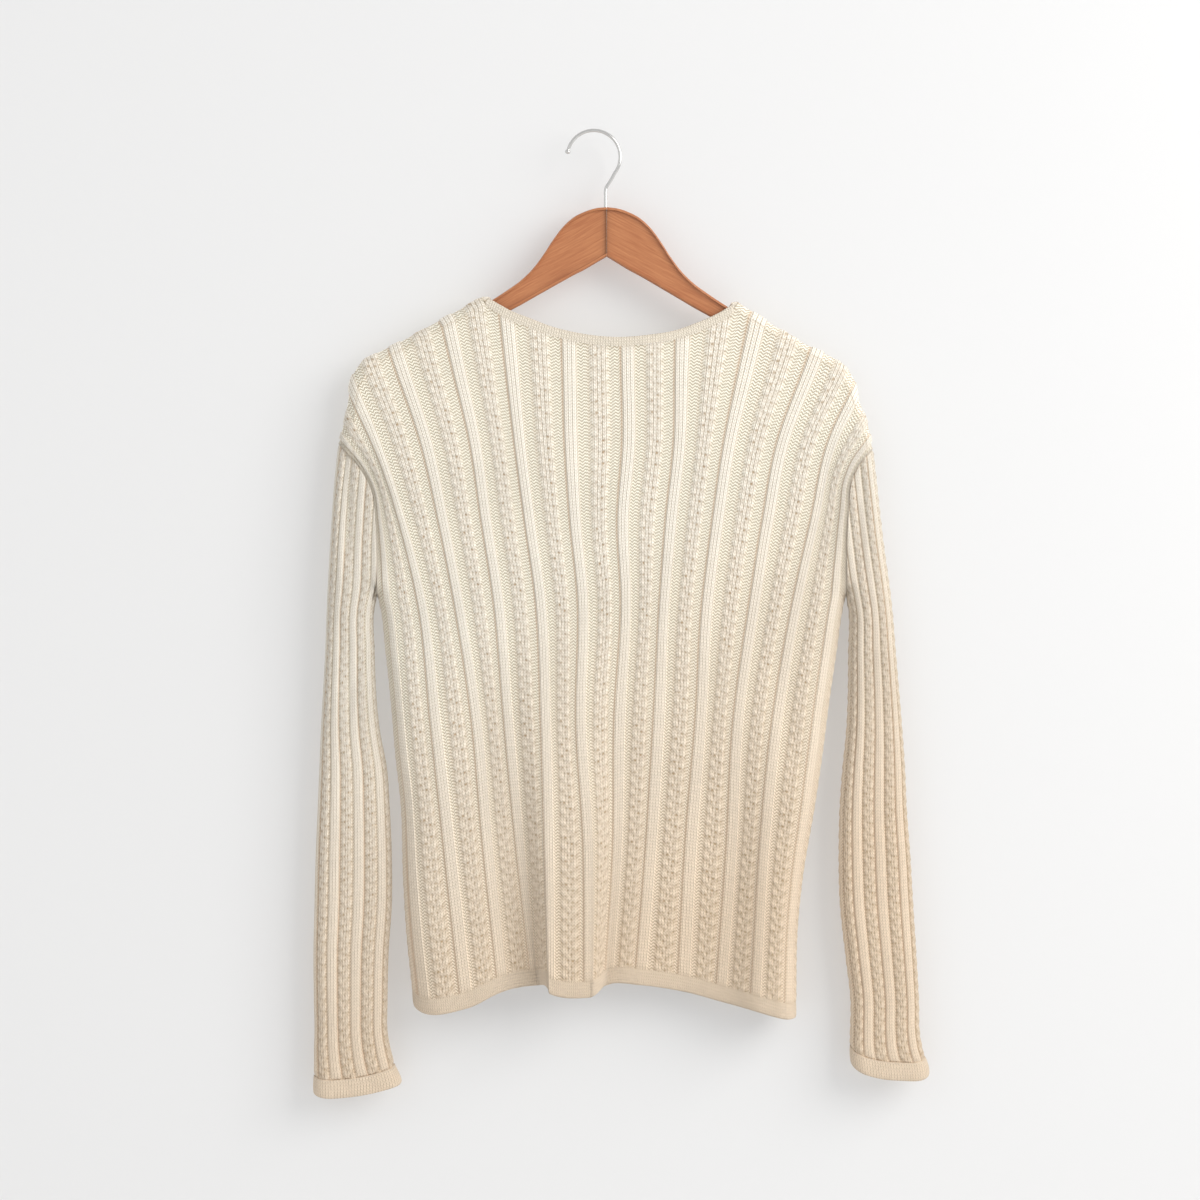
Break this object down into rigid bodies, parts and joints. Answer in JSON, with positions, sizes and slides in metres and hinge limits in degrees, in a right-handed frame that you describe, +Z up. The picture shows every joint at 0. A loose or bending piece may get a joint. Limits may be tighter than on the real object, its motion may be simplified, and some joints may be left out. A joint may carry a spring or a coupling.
{
  "type": "ribbed cardigan on wooden hanger",
  "caption": "Cream rib-knit button-front cardigan with dropped shoulders and long sleeves, seen from its back, hanging on a flat wooden hanger with a wire hook.",
  "frame": {"origin": "the point under the top of the hook that rests on its peg", "axes": "+Z up, +X to the right of someone who looks at the back of the cardigan, +Y from its back to its buttoned front"},
  "size_m": [0.5706, 0.064, 0.8963],
  "materials": {
    "cream_rib_knit": "fluffy rib and plait knit, matte",
    "cream_band_knit": "plain rolled knit band, matte",
    "brown_wood": "satin varnish",
    "chrome_wire": "polished",
    "cream_button": "satin"
  },
  "bodies": {
    "root": {"back": "cream_rib_knit", "back_hem_band": "cream_band_knit", "button_1": "cream_button", "button_2": "cream_button", "button_3": "cream_button", "button_4": "cream_button", "button_5": "cream_button", "button_6": "cream_button", "button_7": "cream_button", "hanger_left": "brown_wood", "hanger_right": "brown_wood", "hook": "chrome_wire", "left_cuff_band": "cream_band_knit", "left_front": "cream_rib_knit", "left_front_hem_band": "cream_band_knit", "left_sleeve": "cream_rib_knit", "left_sleeve_forearm": "cream_rib_knit", "neckband": "cream_band_knit", "over_front_band": "cream_band_knit", "right_cuff_band": "cream_band_knit", "right_front": "cream_rib_knit", "right_front_hem_band": "cream_band_knit", "right_sleeve": "cream_rib_knit", "right_sleeve_forearm": "cream_rib_knit", "under_front_band": "cream_band_knit"}
  },
  "joints": []
}
